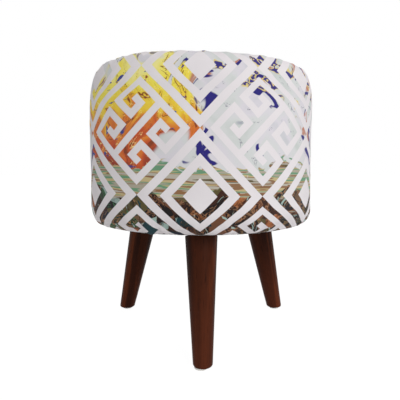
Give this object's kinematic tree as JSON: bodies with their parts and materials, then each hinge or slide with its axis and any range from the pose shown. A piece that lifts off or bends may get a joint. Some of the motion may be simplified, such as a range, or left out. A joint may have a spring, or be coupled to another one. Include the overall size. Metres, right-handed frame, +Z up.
{
  "type": "round upholstered footstool",
  "caption": "Round drum footstool with a crowned, fabric-covered foam seat over a plywood carcass, on splayed, tapered, turned wooden legs screwed into angled steel plates.",
  "frame": {"origin": "on the floor, on the axis of the round seat", "axes": "+Z up; the front leg points towards -Y and the other two stand at 120 degrees to it"},
  "size_m": [0.36, 0.36, 0.438],
  "materials": {
    "printed_cover": "matte woven polyester with a printed pattern",
    "dust_cloth": "black spunbonded cloth",
    "wadding": "white polyester fibre",
    "foam": "open-cell upholstery foam",
    "hardboard": "smooth brown hardboard",
    "plywood": "raw birch plywood",
    "pine": "raw planed pine",
    "stained_wood": "dark walnut stain under satin lacquer",
    "plate_steel": "zinc-plated pressed steel",
    "fastener_steel": "zinc-plated",
    "nylon": "white nylon"
  },
  "bodies": {
    "root": {"cover_side_panel": "printed_cover", "cover_top_panel": "printed_cover", "dust_cover": "dust_cloth", "wadding": "wadding", "top_foam": "foam", "side_foam": "foam", "carcass_wrap": "hardboard", "seat_board": "plywood", "base_board": "plywood", "post_1": "pine", "post_2": "pine", "post_3": "pine", "post_4": "pine", "post_5": "pine", "post_6": "pine", "seat_board_screws": "fastener_steel", "base_board_screws": "fastener_steel", "leg_front": "stained_wood", "leg_rear_right": "stained_wood", "leg_rear_left": "stained_wood", "leg_plate_front": "plate_steel", "leg_plate_rear_right": "plate_steel", "leg_plate_rear_left": "plate_steel", "leg_plate_screws_front": "fastener_steel", "leg_plate_screws_rear_right": "fastener_steel", "leg_plate_screws_rear_left": "fastener_steel", "weld_nut_front": "fastener_steel", "weld_nut_rear_right": "fastener_steel", "weld_nut_rear_left": "fastener_steel", "hanger_bolt_front": "fastener_steel", "hanger_bolt_rear_right": "fastener_steel", "hanger_bolt_rear_left": "fastener_steel", "glide_front": "nylon", "glide_rear_right": "nylon", "glide_rear_left": "nylon", "glide_nail_front": "fastener_steel", "glide_nail_rear_right": "fastener_steel", "glide_nail_rear_left": "fastener_steel"}
  },
  "joints": []
}
